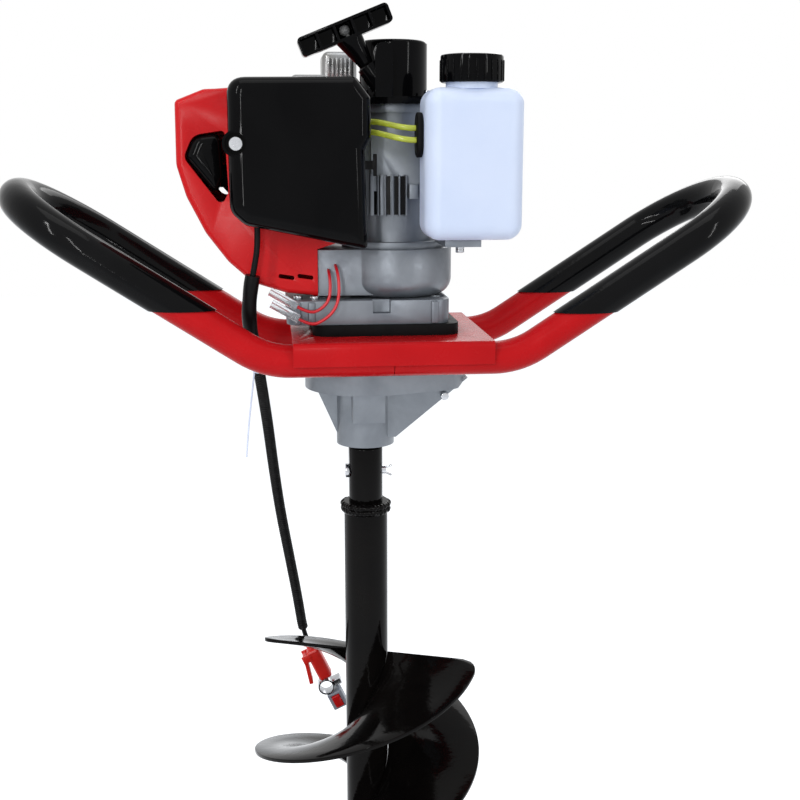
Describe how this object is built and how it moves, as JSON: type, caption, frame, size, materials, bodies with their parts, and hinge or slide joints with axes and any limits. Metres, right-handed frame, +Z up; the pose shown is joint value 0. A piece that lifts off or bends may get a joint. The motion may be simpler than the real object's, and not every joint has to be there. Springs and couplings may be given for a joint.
{
  "type": "ice auger",
  "caption": "Handheld petrol ice auger: vertical-shaft engine and gear case on a bent two-handed tube frame, driving a long twin-flight steel drill.",
  "frame": {"origin": "on the drill's axis, at the height of the centreline of the straight handle tubes, where the frame carries the machine", "axes": "+X to the operator's right with the fuel tank, +Y away from the air cleaner, +Z up the drill's axis"},
  "size_m": [0.6544, 0.2382, 1.1977],
  "materials": {
    "red_paint": "gloss",
    "black_grip": "gloss",
    "pad_rubber": "matte",
    "cast_grey": "cast",
    "bearing_steel": "bright",
    "gear_steel": "ground",
    "flywheel_alloy": "cast",
    "shroud_red": "gloss",
    "black_plastic": "gloss",
    "black_matt_plastic": "matte",
    "filter_foam": "matte",
    "muffler_steel": "bright",
    "rope": "braided",
    "tank_plastic": "translucent",
    "clear_hose": "clear",
    "clear_sleeve": "clear",
    "wire_red": "gloss",
    "black_paint": "gloss",
    "blade_steel": "ground",
    "trigger_red": "gloss",
    "switch_grey": "matte",
    "rocker_red": "gloss"
  },
  "bodies": {
    "power_head": {"air_cleaner_base": "black_matt_plastic", "air_cleaner_cover": "black_plastic", "air_filter": "filter_foam", "ball_bearings": "bearing_steel", "bolts_and_screws": "bearing_steel", "cable_clamp": "bearing_steel", "cable_conduit": "black_matt_plastic", "carburettor": "cast_grey", "clutch_housing": "cast_grey", "clutch_shoes": "gear_steel", "connecting_rod": "gear_steel", "crankcase": "cast_grey", "crankshaft": "gear_steel", "cylinder": "cast_grey", "engine_shroud": "shroud_red", "fan_housing": "cast_grey", "flywheel": "flywheel_alloy", "fuel_hoses": "clear_hose", "fuel_tank": "tank_plastic", "gear_case": "cast_grey", "gear_case_cover": "cast_grey", "handle_grips": "black_grip", "ignition_coil": "black_matt_plastic", "intake_manifold": "black_matt_plastic", "left_handle_loop": "red_paint", "mounting_plate": "red_paint", "muffler": "muffler_steel", "oil_seal": "pad_rubber", "piston": "flywheel_alloy", "plug_cap": "pad_rubber", "recoil_spring": "gear_steel", "right_handle_loop": "red_paint", "rubber_pad": "pad_rubber", "spark_plug": "bearing_steel", "starter_housing": "black_plastic", "stop_wires": "wire_red", "switch_body": "switch_grey", "tank_grommet": "pad_rubber", "throttle_body": "trigger_red", "throttle_cable": "black_matt_plastic", "wire_connectors": "clear_sleeve"},
    "drill": {"output_shaft": "bearing_steel", "output_gear": "gear_steel", "bit_socket": "black_paint", "drill_tube": "black_paint", "drill_flights": "black_paint", "cutting_blades": "blade_steel", "blade_bolts": "blade_steel", "drive_pin": "bearing_steel"},
    "intermediate": {"intermediate_gear": "gear_steel", "intermediate_shaft": "gear_steel"},
    "clutch_output": {"input_pinion": "gear_steel", "clutch_drum": "gear_steel"},
    "pull_handle": {"starter_handle": "black_plastic", "starter_rope": "rope"},
    "reel": {"starter_reel": "black_matt_plastic"},
    "tank_cap": {"fuel_cap": "black_plastic"},
    "trigger": {"throttle_lever": "trigger_red"},
    "stop_switch": {"switch_rocker": "rocker_red"},
    "choke": {"choke_lever": "black_matt_plastic"}
  },
  "joints": [
    {"name": "bit_spin", "type": "hinge", "parent": "power_head", "child": "drill", "pos_m": [0, 0, 0], "axis": [0, 0, -1], "continuous": true},
    {"name": "intermediate_spin", "type": "hinge", "parent": "power_head", "child": "intermediate", "pos_m": [0.054, 0, 0], "axis": [0, 0, -1], "continuous": true},
    {"name": "input_spin", "type": "hinge", "parent": "power_head", "child": "clutch_output", "pos_m": [0.026, 0, 0], "axis": [0, 0, -1], "continuous": true},
    {"name": "starter_pull", "type": "slide", "parent": "power_head", "child": "pull_handle", "axis": [-0.5592, 0, 0.829], "range_m": [0, 0.6], "stiffness_N_per_m": 12, "springref_m": -0.6, "deforming": ["starter_rope"]},
    {"name": "reel_spin", "type": "hinge", "parent": "power_head", "child": "reel", "pos_m": [0.026, 0, 0], "axis": [0, 0, 1], "range_deg": [0, 1640]},
    {"name": "fuel_cap_turn", "type": "hinge", "parent": "power_head", "child": "tank_cap", "pos_m": [0.08225, -0.073, 0.236], "axis": [0, 0, 1], "range_deg": [0, 720]},
    {"name": "throttle_squeeze", "type": "hinge", "parent": "power_head", "child": "trigger", "pos_m": [-0.05534, 0.121, -0.35129], "axis": [0, -1, 0], "range_deg": [0, 12], "stiffness_Nm_per_rad": 0.05, "springref_deg": -28.65},
    {"name": "stop_switch_rock", "type": "hinge", "parent": "power_head", "child": "stop_switch", "pos_m": [-0.02218, 0.1142, -0.39872], "axis": [-0.9063, 0, -0.4226], "range_deg": [0, 16]},
    {"name": "choke_swing", "type": "hinge", "parent": "power_head", "child": "choke", "pos_m": [-0.009, -0.0614, 0.16], "axis": [0, 1, 0], "range_deg": [0, 50]}
  ],
  "couplings": [
    {"joint": "intermediate_spin", "follows": "bit_spin", "ratio": -5.5455},
    {"joint": "input_spin", "follows": "bit_spin", "ratio": 25.509},
    {"joint": "reel_spin", "follows": "starter_pull", "rad_per_m": 47.619}
  ]
}
